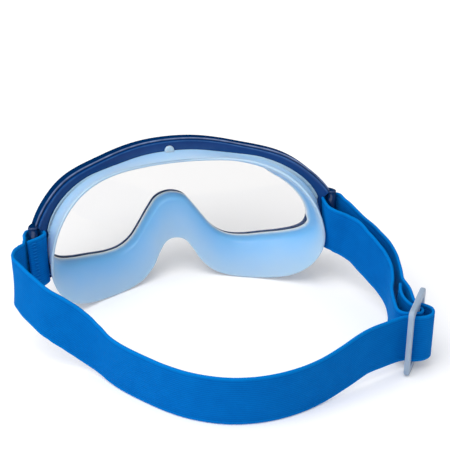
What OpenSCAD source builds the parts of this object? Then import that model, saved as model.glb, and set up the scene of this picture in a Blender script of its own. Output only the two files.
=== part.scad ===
// Swimming goggles: one curved lens in a clamped frame, a soft skirt and a webbing strap
// Millimetres. X to the wearer's right, Y forward, Z up; the goggles rest on skirt and strap

/* [Lens and frame] */
// Radius of the lens, at its rear face
lens_r = 105; // [95:1:130]
// Thickness of the lens
lens_t = 2; // [1.5:0.1:3]
// Width of the clear window
lens_w = 132; // [126:1:138]
// Width of the lens rim that the frame holds
lens_seat = 2.5; // [1.5:0.1:3]
// Width of the frame outside the window
frame_band = 8; // [7:0.1:10]
// Depth of the frame in front of the rear face of the lens
frame_front = 3.3; // [3.2:0.1:5]
// Depth of the front frame behind the rear face of the lens
frame_back = 3.5; // [3:0.1:5]
// Thickness of the rear frame, where it shows
rear_t = 2.3; // [1.5:0.1:4]
// Extra width of the frame over the brow
brow_flare = 0.8; // [0:0.1:1.5]
// Extra width of the frame at its upper ends, beside the straps
end_flare = 3.8; // [0:0.1:4.2]
// Step from the edge of the front frame in to the rear frame
rear_inset = 0.8; // [0.3:0.1:1.5]
// Tilt of the face side, where the goggles rest
mask_lean = 12.6; // [8:0.1:16]

/* [Strap bars] */
// Distance from the side of the window to the middle of a strap bar
bar_gap = 9; // [8.5:0.1:11]
// Diameter of a strap bar
bar_d = 4.6; // [3.6:0.1:5]
// Distance of the bars behind the lens centre
bar_back = 34.2; // [32:0.1:36]
// Height of the bars' middle above the eye line
bar_z = 2.5; // [0:0.5:5]
// Height of the arms above and below the webbing
arm_h = 3; // [2.5:0.5:5]

/* [Skirt] */
// Reach of the skirt's rear lip beyond the side of the window
lip_flare = 3; // [1:0.5:3]
// Wall of the skirt
skirt_t = 1.8; // [1.2:0.1:2.2]
// Width of the skirt's clamped flange outside the window
flange_w = 4.6; // [4:0.1:5.5]
// Thickness of the clamped flange
flange_t = 1.2; // [0.8:0.1:1.6]
// Diameter of the round locating tab over the brow
tab_d = 5.5; // [4:0.5:8]
// Thickness of the locating tab
tab_t = 1.2; // [0.8:0.1:2]

/* [Strap] */
// Width of the webbing
web_w = 25; // [20:0.5:25.5]
// Thickness of the webbing
web_t = 1.4; // [1:0.1:1.8]
// Radius about a bar's middle where each loop ends and the run starts
seam_r = 19; // [18:0.5:20]

/* [Slider] */
// Length of the slider, along its bars
slider_l = 35.6; // [32:0.1:40]
// Distance between neighbouring bars
bar_step = 10.9; // [10:0.1:13]
// Width of a slider bar
rib_w = 3; // [2:0.1:4]
// Thickness of a slider bar
rib_t = 2; // [1.5:0.1:2.4]
// Width of the slider's end pieces
end_w = 4; // [3:0.1:4.5]

/* [Hidden] */
$fn = 48;

// Clearances
soft_gap = 0.15;
fit_gap = 0.2;
turn_gap = 0.3;
web_gap = 0.7;
run_gap = 0.6;

// Key points of the window, right half, from the brow to the nose: x, z
window_half = [[0, 35.6], [14, 34.9], [28, 32.4], [41, 28.8], [51, 24.4], [58.6, 18.8], [63.8, 12],
    [66, 5], [65.2, -1], [61.5, -4.6], [54.5, -6.9], [46, -8.2], [36.5, -9.2], [28.5, -8.3],
    [22, -4.6], [17, 1.5], [12, 8.6], [7, 14.4], [0, 16.4]];
// Key points of the skirt's rear lip, matched to the window's: x, z, depth at the middle plane
lip_half = [[0, 35.3, -11], [15, 35.1, -11], [29, 34.2, -11], [41, 31.8, -11], [51, 27.4, -10.8],
    [59, 20.9, -10.4], [64.8, 12.4, -9.8], [68.2, 3, -9.2], [69, -7, -8.8], [65.6, -16.6, -8.4],
    [59, -24, -8], [50, -27.9, -8], [38, -28.8, -8], [27.5, -27.7, -8], [19, -24.8, -7.6],
    [12.8, -19.4, -7], [8.8, -12.8, -6.2], [5, -7.6, -5.4], [0, -6, -5]];
// Width over the rear lip
lip_w = lens_w + 2 * lip_flare;
// Depth of the locating tab's middle in the skirt's wall
tab_root = 0.9;
// Steps of the skirt's inner face: outward from the window, and behind the rear face of the lens
wall_step = 0.6;
inner_step = 0.4;
inner_root = 2.2;
inner_edge = 0.9;
// Backward sweep of the lip at the temples
lip_sweep = 29.5;
// Curve steps between key points
steps = 3;
// Depth of the lens centre in the mask's own frame
lens_y = 3.2;

// Small vector helpers
function unit(v) = v / norm(v);
function lerp(a, b, t) = a + (b - a) * t;
function both_sides(half) = concat(half,
    [for (i = [len(half) - 2:-1:1]) [for (k = [0:len(half[i]) - 1]) (k == 0 ? -1 : 1) * half[i][k]]]);
function half_width(half) = max([for (p = half) p[0]]);
function widened(half, w) =
    [for (p = half) [for (k = [0:len(p) - 1]) p[k] * (k == 0 ? w / 2 / half_width(half) : 1)]];

// Smooth curve through points, closed or open
function spline_at(a, b, c, d, t) =
    0.5 * (2 * b + (c - a) * t + (2 * a - 5 * b + 4 * c - d) * t * t + (3 * b - a - 3 * c + d) * t * t * t);
function closed_curve(p, n) = let (m = len(p))
    [for (i = [0:m - 1], j = [0:n - 1])
        spline_at(p[(i + m - 1) % m], p[i], p[(i + 1) % m], p[(i + 2) % m], j / n)];
function open_curve(p, n) = let (m = len(p), e = concat([2 * p[0] - p[1]], p, [2 * p[m - 1] - p[m - 2]]))
    concat([for (i = [0:m - 2], j = [0:n - 1]) spline_at(e[i], e[i + 1], e[i + 2], e[i + 3], j / n)],
        [p[m - 1]]);

// Window outline and its outward normals
window = closed_curve(both_sides(widened(window_half, lens_w)), steps);
stations = len(window);
function out_normal(i) = let (t = window[(i + 1) % stations] - window[(i + stations - 1) % stations])
    unit([-t[1], t[0]]);
function band(d) = [for (i = [0:stations - 1]) window[i] + d * out_normal(i)];

// The frame's outer edge widens over the brow, and above the eye line toward its ends
brow_from = 18;
brow_over = 8;
end_from = 0.24;
end_over = 0.26;
end_rise = 12;
function eased(t) = let (c = max(0, min(1, t))) c * c * (3 - 2 * c);
function flare(p) = brow_flare * eased((p[1] - brow_from) / brow_over)
    + end_flare * eased((abs(p[0]) / lens_w - end_from) / end_over) * eased(p[1] / end_rise);
function edge_band(d) = [for (i = [0:stations - 1]) window[i] + (d + flare(window[i])) * out_normal(i)];
lip = closed_curve(both_sides(widened(lip_half, lip_w)), steps);

// The lens and the frame are shells about one upright axis
axis_y = lens_y - lens_r;
function shell_y(x, s) = axis_y + sqrt(pow(lens_r + s, 2) - x * x);
rear_s = -frame_back - rear_t;
wall_band = skirt_t + wall_step;

// Strap bars, in the mask's own frame
bar_x = lens_w / 2 + bar_gap;
bar_y = lens_y - bar_back;
bar_zone = web_w / 2 + web_gap;
// The slot starts where the ring round the window ends
ring_side = 4;
slot_x = lens_w / 2 + ring_side;
slot_room = 20;
// The frame's front layer runs on past the slot, this far in front of the bars' middle
slot_front = 5.2;
// Length of the solids that cut or bound others
reach = 1.1 * lens_w;
// Where the arms' root runs inside the frame: from the window's side in and out, and under the front
root_in = 2;
root_out = 5;
root_sink = 0.6;
// Thickness of the arms' rear edge beside a bar
arm_edge = [1, 0.5];

// Profile of the skirt at a station: from the clamped flange back to the lip and in again
function on_shell(i, t, s) = let (p = window[i] + t * out_normal(i)) [p[0], shell_y(p[0], s), p[1]];
function lip_point(i) = [lip[i][0], lip[i][2] - lip_sweep * pow(2 * lip[i][0] / lip_w, 2), lip[i][1]];
function wall_curve(i, u) = let (a = on_shell(i, wall_band, rear_s), b = lip_point(i),
        m = [lerp(a[0], b[0], 0.35), lerp(a[1], b[1], 0.6), lerp(a[2], b[2], 0.35)])
    (1 - u) * (1 - u) * a + 2 * u * (1 - u) * m + u * u * b;
function wall_slope(i, u) = let (d = wall_curve(i, min(u + 0.02, 1)) - wall_curve(i, max(u - 0.02, 0)),
        n = out_normal(i), r = d[0] * n[0] + d[2] * n[1])
    unit([r, d[1]]);
function inner_curve(i, u) = let (g = wall_slope(i, u), n = out_normal(i), p = wall_curve(i, u))
    p + skirt_t * [g[1] * n[0], -g[0], g[1] * n[1]];
function skirt_profile(i) = concat(
    [on_shell(i, flange_w, -soft_gap), on_shell(i, flange_w, -soft_gap - flange_t),
        on_shell(i, wall_band, -soft_gap - flange_t)],
    [for (u = [0, 0.25, 0.5, 0.75, 0.93]) wall_curve(i, u)],
    [lerp(wall_curve(i, 1), inner_curve(i, 1), 0.3), lerp(wall_curve(i, 1), inner_curve(i, 1), 0.7)],
    [for (u = [0.93, 0.75, 0.5, 0.25, 0]) inner_curve(i, u)],
    [on_shell(i, inner_step, -inner_root), on_shell(i, 0, -inner_edge), on_shell(i, 0, -soft_gap)]);
profiles = [for (i = [0:stations - 1]) skirt_profile(i)];

// Middle of the footprint, from the point under the window's middle
foot_mid = [2.9, -62.4];

// Height of the mask's own origin when the lip rests on the floor
rest_h = max([for (p = profiles, q = p) q[1] * sin(mask_lean) - q[2] * cos(mask_lean)]);
function in_world(p) = [p[0], p[1] * cos(mask_lean) + p[2] * sin(mask_lean),
    p[2] * cos(mask_lean) - p[1] * sin(mask_lean) + rest_h];
mask_up = [0, sin(mask_lean), cos(mask_lean)];
left_bar = in_world([-bar_x, bar_y, bar_z]);
right_bar = in_world([bar_x, bar_y, bar_z]);

// Webbing routes round the bars, from the bar's middle: x, y in the mask's own frame
left_loop_route = [[-3.8, -9.4], [-0.8, -7.2], [2.2, -4.8], [3.5, -1.4], [2.7, 2.4], [0, 3.7],
    [-2.7, 2.7], [-4.3, -0.6], [-6, -4], [-8.2, -6.4], [-10.6, -8.4], [-12.6, -12], [-13.4, -17],
    [-13, -22]];
right_loop_route = [[19.5, -26], [16.4, -19.1], [13.6, -11.6], [10.4, -5.7], [7.4, -0.6],
    [4, 3.1], [0.2, 3.8], [-2.9, 2.1], [-3.5, -1.6], [-3, -6], [-0.8, -10.4], [2.2, -14],
    [5.2, -18], [7.6, -24], [9.4, -30]];

// Half the distance between the bars that the next routes are drawn for, and a route for another
drawn_bar_x = 75;
function placed(p) = [for (k = [0:len(p) - 1])
    k == 0 ? p[0] + sign(p[0]) * (bar_x - drawn_bar_x) * min(1, abs(p[0]) / drawn_bar_x) : p[k]];
// Webbing routes in the resting position: x, y, height of the lower edge
left_seam = [-88.2, -43.5, 21.6];
drawn_front = [[-85.2, -39.2, 21.6], left_seam, [-88, -50, 21.2], [-86, -57, 20], [-82.6, -63.5, 18],
    [-78, -70, 15.4], [-72.6, -74.6, 12.6], [-67, -78.4, 9], [-61.6, -82.6, 5], [-56.6, -88, 2],
    [-52.4, -95.4, 0.4], [-47.4, -103.6, 0], [-41, -112.4, 0], [-33.4, -121.6, 0], [-24, -130, 0],
    [-12, -136.6, 0], [0, -139.6, 0], [12, -139.8, 0], [24, -137.6, 0], [36, -133.4, 0.4],
    [48, -128.6, 2.4], [59.4, -124.3, 5.3], [69.6, -120.6, 5.3]];
drawn_outer = [[91.2, -95.4, 5.3], [91.4, -86, 5.3], [92.8, -78, 7.4], [94, -69, 8.8],
    [93.6, -60, 10.6], [91.4, -51, 13.2], [88.6, -42.6, 16.4], [85.4, -36, 19.2], [82, -30, 21.6]];
drawn_inner = [[83, -93.4, 5.3], [85.4, -85, 5.3], [87.2, -77, 7.4], [87.2, -69, 10],
    [84.9, -61.6, 12.8], [82.5, -55, 15.4], [80.2, -49, 18], [77.8, -43.6, 20.4]];
front_route = [for (p = drawn_front) placed(p)];
outer_route = [for (p = drawn_outer) placed(p)];
inner_route = [for (p = drawn_inner) placed(p)];

// Slider place: the middle of its centre bar, its direction from near bar to far bar
drawn_slider = [87.4, -113.8];
slider_at = placed(drawn_slider);
slider_turn = 55;
// Routes round the centre bar: along the slider, outward
bight_turns = [[-7.4, -3.6], [-5.8, 2.2], [-3.3, 6], [0.4, 7.7], [4.1, 6.2], [5.7, 2], [7, -2.4]];
fold_turns = [[-1.4, -9.2], [-4.4, -5], [-3.2, -1.6], [-2.5, 0.9], [-1.5, 2.3], [0, 2.7],
    [1.5, 2.3], [2.5, 0.9], [3, -1.4], [4.8, -4.8], [8.8, -8.4], [14, -11], [19.4, -12.5]];
// Each route meets the run that it continues, a seam's gap away and in line with it
function to_slider(p) = let (d = [p[0] - slider_at[0], p[1] - slider_at[1]])
    [d[0] * cos(slider_turn) + d[1] * sin(slider_turn), d[0] * sin(slider_turn) - d[1] * cos(slider_turn)];
function past_end(a, b, d) = to_slider(b + d * unit([b[0] - a[0], b[1] - a[1], 0]));
function joined(a, b) = [past_end(a, b, run_gap), past_end(a, b, seam_lead)];
function reversed(p) = [for (i = [len(p) - 1:-1:0]) p[i]];
seam_lead = 4.5;
front_end = len(front_route) - 1;
bight_route = concat(joined(front_route[front_end - 1], front_route[front_end]), bight_turns,
    reversed(joined(outer_route[1], outer_route[0])));
fold_route = concat(joined(inner_route[1], inner_route[0]), fold_turns);

// Sewn thread
thread_d = 0.5;
thread_l = 2.4;
thread_step = 1.6;

// A ribbon of webbing swept along points: middle point, direction of its width
function ribbon_frame(p, up, i) = let (n = len(p), t = unit(p[min(i + 1, n - 1)] - p[max(i - 1, 0)]),
        w = unit(up[i] - (up[i] * t) * t))
    [w, cross(t, w)];
module ribbon(p, up) {
    n = len(p);
    verts = [for (i = [0:n - 1]) let (f = ribbon_frame(p, up, i))
        each [for (c = [[-1, -1], [1, -1], [1, 1], [-1, 1]])
            p[i] + c[0] * web_w / 2 * f[0] + c[1] * web_t / 2 * f[1]]];
    sides = [for (i = [0:n - 2], k = [0:3]) let (a = 4 * i + k, b = 4 * i + (k + 1) % 4)
        each [[a, b + 4, b], [a, a + 4, b + 4]]];
    ends = [[0, 1, 2], [0, 2, 3], [4 * n - 4, 4 * n - 2, 4 * n - 3], [4 * n - 4, 4 * n - 1, 4 * n - 2]];
    polyhedron(verts, concat(sides, ends));
}

// A flat band along a plan route, half the webbing's thickness to each side
function side_step(p, i) = let (n = len(p), t = unit(p[min(i + 1, n - 1)] - p[max(i - 1, 0)]))
    [-t[1], t[0]] * web_t / 2;
function band_plan(p) = let (n = len(p)) concat([for (i = [0:n - 1]) p[i] + side_step(p, i)],
    [for (i = [n - 1:-1:0]) p[i] - side_step(p, i)]);
module standing_band(route, n) {
    linear_extrude(web_w, center = true)
        polygon(band_plan(open_curve(route, n)));
}

// Rows of thread across a flat stretch of a band, on one face
module stitches(route, at, face) {
    p = open_curve(route, steps);
    middle = (p[at] + p[at + 1]) / 2 + face * (side_step(p, at) + side_step(p, at + 1)) / 2;
    way = p[at + 1] - p[at];
    rows = floor((web_w - thread_step) / thread_step);
    for (i = [0:rows - 1])
        translate([middle[0], middle[1], (i - (rows - 1) / 2) * thread_step])
            rotate(atan2(way[1], way[0]))
                translate([0, face * (thread_d / 2 + soft_gap / 2), 0])
                    cube([thread_l, thread_d, thread_d], center = true);
}

// Heights are of the lower edge; the width leans with the mask near the bars
lean_from = 60;
lean_over = 40;
function mid_points(route) = [for (p = route) [p[0], p[1], p[2] + web_w / 2]];
function near_bar(p) = let (d = min(norm(p - left_bar), norm(p - right_bar)))
    max(0, min(1, (lean_from - d) / lean_over));
function leans(p) = [for (q = p) unit(lerp([0, 0, 1], mask_up, near_bar(q)))];
module run(route) {
    points = [for (p = open_curve(mid_points(route), steps)) [p[0], p[1], max(p[2], web_w / 2)]];
    ribbon(points, leans(points));
}

// Solids between two outlines and between two shells
module on_floor() {
    translate([-foot_mid[0], -foot_mid[1], 0])
        children();
}
module in_mask() {
    on_floor()
        translate([0, 0, rest_h])
            rotate([-mask_lean, 0, 0])
                children();
}
module prism(outline) {
    rotate([90, 0, 0])
        linear_extrude(reach, center = true)
            polygon(outline);
}
module shell(s0, s1) {
    translate([0, axis_y, 0])
        difference() {
            cylinder(r = lens_r + s1, h = reach, center = true, $fn = 180);
            cylinder(r = lens_r + s0, h = reach + 1, center = true, $fn = 180);
        }
}
module bar_places() {
    for (side = [-1, 1])
        translate([side * bar_x, bar_y, bar_z])
            children();
}

module slot_cuts(height) {
    for (side = [-1, 1])
        translate([side * (slot_x + slot_room / 2), bar_y + slot_front - slot_room, bar_z])
            cube([slot_room, 2 * slot_room, height], center = true);
}

// Front frame: one moulding with the two strap bars
module arms() {
    root = [lens_w / 2 - root_in, lens_w / 2 + root_out];
    front = frame_front - root_sink;
    for (side = [0, 1])
        mirror([side, 0, 0])
            for (end = [-1, 1])
                translate([0, 0, bar_z + end * (bar_zone + arm_h / 2)])
                    linear_extrude(arm_h, center = true) {
                        translate([bar_x, bar_y])
                            circle(d = bar_d);
                        polygon([[root[0], shell_y(root[0], front)],
                            [root[1], shell_y(root[1], front)],
                            [bar_x + bar_d / 2, bar_y + arm_edge[0]], [bar_x + bar_d / 2, bar_y],
                            [bar_x, bar_y - bar_d / 2], [slot_x + fit_gap, bar_y - arm_edge[1]],
                            [slot_x + fit_gap, shell_y(slot_x, -frame_back)],
                            [root[0], shell_y(root[0], front / 2)]]);
                    }
}
module front_frame() {
    color([0.04, 0.12, 0.36])
        in_mask() {
            difference() {
                union() {
                    intersection() {
                        prism(edge_band(frame_band));
                        shell(-frame_back, frame_front);
                    }
                    arms();
                }
                prism(band(0));
                intersection() {
                    prism(band(lens_seat + fit_gap));
                    shell(-frame_back - 1, lens_t + soft_gap);
                }
                intersection() {
                    prism(band(flange_w + fit_gap));
                    shell(-frame_back - 1, 0);
                }
                slot_cuts(2 * bar_zone);
            }
            bar_places()
                cylinder(d = bar_d, h = 2 * bar_zone + 1, center = true);
        }
}
module rear_frame() {
    color([0.05, 0.16, 0.42])
        in_mask()
            difference() {
                union() {
                    intersection() {
                        prism(edge_band(frame_band - rear_inset));
                        shell(rear_s, -frame_back - soft_gap);
                    }
                    intersection() {
                        prism(band(flange_w));
                        shell(rear_s, -2 * soft_gap - flange_t);
                    }
                }
                prism(band(wall_band + 2 * soft_gap));
                slot_cuts(2 * (bar_zone + arm_h + fit_gap));
            }
}
module lens() {
    color([0.8, 0.9, 0.95])
        in_mask()
            intersection() {
                prism(band(lens_seat));
                shell(0, lens_t);
            }
}
module locating_tab() {
    brow = [0, shell_y(0, rear_s) - soft_gap, window[0][1] + wall_band - tab_root];
    translate(brow)
        rotate([90, 0, 0])
            cylinder(d = tab_d, h = tab_t);
}
module skirt() {
    n = len(profiles[0]);
    verts = [for (p = profiles) each p];
    faces = [for (i = [0:stations - 1], k = [0:n - 1])
        let (j = (i + 1) % stations, a = n * i + k, b = n * i + (k + 1) % n,
            c = n * j + (k + 1) % n, d = n * j + k)
        each [[a, c, b], [a, d, c]]];
    color([0.55, 0.75, 0.92])
        in_mask() {
            polyhedron(verts, faces);
            locating_tab();
        }
}

// Webbing round the left bar, with its end sewn back
module strap_left_loop() {
    color([0, 0.42, 0.8])
        in_mask()
            intersection() {
                translate([-bar_x, bar_y, bar_z])
                    standing_band(left_loop_route, steps);
                translate([-bar_x, bar_y, bar_z])
                    sphere(r = seam_r, $fn = 96);
            }
}
module left_loop_stitches() {
    color([0.1, 0.5, 0.85])
        in_mask()
            translate([-bar_x, bar_y, bar_z])
                stitches(left_loop_route, 2, 1);
}
module strap_right_loop() {
    color([0, 0.42, 0.8])
        in_mask()
            intersection() {
                translate([bar_x, bar_y, bar_z])
                    standing_band(right_loop_route, steps);
                translate([bar_x, bar_y, bar_z])
                    sphere(r = seam_r, $fn = 96);
            }
}

// The runs start a turning gap outside the loops
module outside_seam(bar) {
    difference() {
        children();
        translate(bar)
            sphere(r = seam_r + turn_gap, $fn = 96);
    }
}
module strap_front_run() {
    color([0, 0.45, 0.82])
        on_floor()
            outside_seam(left_bar)
                run(front_route);
}
module strap_right_outer() {
    color([0, 0.45, 0.82])
        on_floor()
            outside_seam(right_bar)
                run(outer_route);
}
module strap_right_inner() {
    color([0, 0.45, 0.82])
        on_floor()
            outside_seam(right_bar)
                run(inner_route);
}

// Slider with three bars, and the webbing that goes with it
module at_slider() {
    on_floor()
        translate([slider_at[0], slider_at[1], slider_l / 2])
            rotate(slider_turn)
                mirror([0, 1, 0])
                    children();
}
module slider() {
    color([0.85, 0.87, 0.9])
        at_slider() {
            for (i = [-1:1])
                translate([i * bar_step, 0, 0])
                    cube([rib_w, rib_t, slider_l - 2 * end_w + 1], center = true);
            for (end = [-1, 1])
                translate([0, 0, end * (slider_l - end_w) / 2])
                    rotate([90, 0, 0])
                        linear_extrude(rib_t, center = true) {
                            square([2 * bar_step, end_w], center = true);
                            for (side = [-1, 1])
                                translate([side * bar_step, 0])
                                    square([rib_w, end_w], center = true);
                        }
        }
}
module strap_bight() {
    color([0, 0.45, 0.82])
        at_slider()
            standing_band(bight_route, steps);
}
module strap_sewn_fold() {
    color([0, 0.42, 0.8])
        at_slider()
            standing_band(fold_route, steps);
}
module fold_stitches() {
    color([0.1, 0.5, 0.85])
        at_slider()
            stitches(fold_route, steps * (len(fold_route) - 1) - 3, -1);
}

front_frame();
rear_frame();
lens();
skirt();
strap_left_loop();
left_loop_stitches();
strap_right_loop();
strap_front_run();
strap_right_outer();
strap_right_inner();
slider();
strap_bight();
strap_sewn_fold();
fold_stitches();
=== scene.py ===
import bpy
import bmesh
import math
import numpy as np
from mathutils import Matrix, Vector


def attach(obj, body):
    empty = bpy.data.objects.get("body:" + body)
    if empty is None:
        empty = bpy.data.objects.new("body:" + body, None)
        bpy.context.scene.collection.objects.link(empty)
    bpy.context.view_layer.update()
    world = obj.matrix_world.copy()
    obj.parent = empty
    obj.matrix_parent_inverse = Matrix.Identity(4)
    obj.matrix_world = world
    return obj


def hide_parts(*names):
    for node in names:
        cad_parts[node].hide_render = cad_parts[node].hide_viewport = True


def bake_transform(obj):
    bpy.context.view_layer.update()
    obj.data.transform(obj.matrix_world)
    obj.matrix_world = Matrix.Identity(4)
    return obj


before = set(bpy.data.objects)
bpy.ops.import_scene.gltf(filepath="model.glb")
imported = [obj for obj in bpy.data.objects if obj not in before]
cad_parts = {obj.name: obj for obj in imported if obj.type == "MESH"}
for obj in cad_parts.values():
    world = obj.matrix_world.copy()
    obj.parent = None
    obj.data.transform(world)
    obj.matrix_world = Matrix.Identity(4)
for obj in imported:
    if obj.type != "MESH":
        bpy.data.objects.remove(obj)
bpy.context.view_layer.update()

# Lengths are in millimetres up to build_mesh, which works in metres. The mask's own axes are x
# along it, y forward and z up. A place near the lens is given by t, its distance outside the
# window, and s, its height over the lens's back face.
MM = 0.001

# Lens and frame
LENS_W, LENS_R, LENS_T, LENS_Y = 132.0, 105.0, 2.0, 3.2
LENS_RIM, LENS_LIFT, LENS_INSET = 2.45, 0.02, 0.02
AXIS_Y = LENS_Y - LENS_R
FRAME_BAND, FRAME_FRONT, FRAME_BACK, REAR_T = 8.0, 3.3, 3.5, 2.3
REAR_S = -FRAME_BACK - REAR_T
SEAT_BAND, SEAT_S, GROOVE_BAND = 2.7, 2.15, 4.8
BROW_FLARE, BROW_FROM, BROW_OVER = 0.8, 18, 8
END_FLARE, END_FROM, END_OVER, END_RISE = 3.8, 0.24, 0.26, 12

# Webbing, strap bars, and the slots between the frame and the bars
WEB_W, WEB_T = 25.0, 1.4
half_w, half_t = WEB_W / 2, WEB_T / 2
BAR_X, BAR_Y, BAR_Z, BAR_D = 75.0, -31.0, 2.5, 4.6
BAR_ZONE = half_w + 0.7
BAR_SINK, BAR_RING = 1, 5
ARM_T, ARM_EDGE, ARM_GRIP, ARM_WEAR = 1.5, 0.7, 0.15, 0.08
SLOT_X, SLOT_FRONT, SLOT_FROM_X, SLOT_EASE, SLOT_REST = 70.0, 5.2, 50, 1.2, 4.0
LAYER_BACK, LAYER_MIDDLE, LAYER_OUT = 1.05, 2.0, 5.0

# Skirt
SKIRT_T, LIP_THINNER, WALL_BAND = 1.8, 0.5, 2.4
LIP_SWEEP, LIP_HALF, LIP_STEPS = 29.5, 69.0, 7
WALL_BOW = np.array([0.35, 0.6, 0.35])
SLOPE_STEP, SHOULDER_START = 0.02, 0.05
SHOULDER_LOW, SHOULDER_FROM, SHOULDER_OVER = 0.4, 5, 15
BROW_LESS, BROW_LESS_FROM, BROW_LESS_OVER = 0.65, 28, 6
COVER, COVER_FROM_X, COVER_OVER_X, COVER_FROM_Z, COVER_OVER_Z = 1.3, 44, 8, -1, 4
TAB_UP, TAB_SINK, TAB_STEPS = 3.5, 0.25, 24

# The mask's lean at rest, and the way from its middle to the row frame
MASK_LEAN = math.radians(12.6)
REST_H = 24.375
FOOT = np.array([2.9, -62.4, 0.0])

# Half outlines from the brow round to the nose: the window's (x, z) and the lip's (x, z, y)
window_half = [(0, 35.6), (14, 34.9), (28, 32.4), (41, 28.8), (51, 24.4), (58.6, 18.8),
               (63.8, 12), (66, 5), (65.2, -1), (61.5, -4.6), (54.5, -6.9), (46, -8.2),
               (36.5, -9.2), (28.5, -8.3), (22, -4.6), (17, 1.5), (12, 8.6), (7, 14.4), (0, 16.4)]
lip_half = [(0, 35.3, -11), (15, 35.3, -11), (29, 35, -11), (41, 32.9, -11), (51, 28.5, -10.8),
            (59, 21.8, -10.4), (64.9, 12.8, -9.8), (68.2, 3, -9.2), (69, -7, -8.8),
            (65.6, -16.6, -8.4), (59, -24, -8), (50, -27.9, -8), (38, -28.8, -8),
            (27.5, -27.7, -8), (19, -24.8, -7.6), (12.8, -19.4, -7), (8.8, -12.8, -6.2),
            (5, -7.6, -5.4), (0, -6, -5)]
OUTLINE_STEPS = 8


# Curves and frames
def unit(v):
    return v / np.linalg.norm(v)


def smooth(x):
    x = float(np.clip(x, 0, 1))
    return x * x * (3 - 2 * x)


def spline(points, n, closed=False):
    """A smooth curve through the points, n steps to each span."""
    p = np.array(points, float)
    if closed:
        e = np.vstack([p[-1], p, p[:2]])
        spans = len(p)
    else:
        e = np.vstack([2 * p[0] - p[1], p, 2 * p[-1] - p[-2]])
        spans = len(p) - 1
    t = (np.arange(n) / n)[:, None]
    out = []
    for i in range(spans):
        a, b, c, d = e[i:i + 4]
        out.append(0.5 * (2 * b + (c - a) * t + (2 * a - 5 * b + 4 * c - d) * t ** 2
                          + (3 * b - a - 3 * c + d) * t ** 3))
    if not closed:
        out.append(p[-1:])
    return np.vstack(out)


def both_sides(half):
    return list(half) + [(-p[0], *p[1:]) for p in half[-2:0:-1]]


def outline_normals(outline):
    """Unit normals of a closed plane outline, to the right of its course."""
    turn = np.roll(outline, -1, axis=0) - np.roll(outline, 1, axis=0)
    n = np.stack([turn[:, 1], -turn[:, 0]], 1)
    return n / np.linalg.norm(n, axis=1)[:, None]


window = spline(both_sides(window_half), OUTLINE_STEPS, closed=True)
lip = spline(both_sides(lip_half), OUTLINE_STEPS, closed=True)
stations = len(window)
normal = -outline_normals(window)


def shell_y(x, s):
    return AXIS_Y + math.sqrt((LENS_R + s) ** 2 - x * x)


def to_row(p):
    """From the mask's own axes to the row frame, where it leans on its face side."""
    p = np.atleast_2d(np.array(p, float))
    c, s = math.cos(MASK_LEAN), math.sin(MASK_LEAN)
    y, z = p[:, 1] * c + p[:, 2] * s, p[:, 2] * c - p[:, 1] * s + REST_H
    return np.stack([p[:, 0], y, z], 1) - FOOT


MASK_UP = np.array([0, math.sin(MASK_LEAN), math.cos(MASK_LEAN)])
BAR_L = to_row([-BAR_X, BAR_Y, BAR_Z])[0]
BAR_R = to_row([BAR_X, BAR_Y, BAR_Z])[0]


# Meshes
def build_mesh(name, points, faces, material, uvs=None, attributes=None, flat_faces=()):
    """An object from points in millimetres in the row frame."""
    mesh = bpy.data.meshes.new(name)
    mesh.from_pydata([tuple(p) for p in np.array(points, float) * MM], [],
                     [list(f) for f in faces])
    mesh.polygons.foreach_set("use_smooth", [True] * len(mesh.polygons))
    for i in flat_faces:
        mesh.polygons[i].use_smooth = False
    if uvs is not None:
        layer = mesh.uv_layers.new(name="UVMap")
        flat = np.array([c for f in uvs for uv in f for c in uv], np.float32)
        layer.data.foreach_set("uv", flat)
    for key, values in (attributes or {}).items():
        held = mesh.attributes.new(key, "FLOAT", "POINT")
        held.data.foreach_set("value", np.array(values, np.float32))
    mesh.validate()
    mesh.update()
    return placed_object(name, mesh, material)


def placed_object(name, mesh, material):
    mesh.materials.append(material)
    obj = bpy.data.objects.new(name, mesh)
    bpy.context.scene.collection.objects.link(obj)
    return obj


class Parts:
    """Collects several surfaces, in the mask's axes or the row frame, into one mesh."""

    def __init__(self):
        self.points, self.faces, self.values = [], [], {}

    def add(self, points, faces, **values):
        base = len(self.points)
        self.points += [tuple(p) for p in points]
        self.faces += [[i + base for i in f] for f in faces]
        for key in {**self.values, **values}:
            held = self.values.setdefault(key, [0.0] * base)
            held += list(values.get(key, [0.0] * len(points)))

    def made(self, name, material, in_mask=False):
        points = to_row(self.points) if in_mask else self.points
        return build_mesh(name, points, self.faces, material, attributes=self.values)


def loft(n, m, closed=False, flip=False, caps=False):
    """Faces of a tube of n rings with m points each, closed lengthwise or capped where asked."""
    faces = []
    for i in range(n if closed else n - 1):
        a, b = i * m, (i + 1) % n * m
        for k in range(m):
            j = (k + 1) % m
            faces.append([a + k, a + j, b + j, b + k] if flip else [a + k, b + k, b + j, a + j])
    if caps:
        faces += [list(range(m))[::-1], [(n - 1) * m + k for k in range(m)]]
    return faces


def weighted(obj):
    """Shading normals that keep wide faces flat beside their rounded edges."""
    mod = obj.modifiers.new("normals", "WEIGHTED_NORMAL")
    mod.keep_sharp = True
    mod.weight = 50
    return obj


def rounded(points, radius, steps=4):
    """A closed profile with rounded corners; a corner's third number is its own radius."""
    p = [np.array(q[:2], float) for q in points]
    out = []
    for i, q in enumerate(points):
        r = q[2] if len(q) > 2 else radius
        a, b, c = p[i - 1], p[i], p[(i + 1) % len(p)]
        u, v = unit(a - b), unit(c - b)
        r = min(r, 0.45 * np.linalg.norm(a - b), 0.45 * np.linalg.norm(c - b))
        for t in np.linspace(0, 1, steps + 1):
            out.append((1 - t) ** 2 * (b + u * r) + 2 * t * (1 - t) * b + t * t * (b + v * r))
    return np.array(out)


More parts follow.
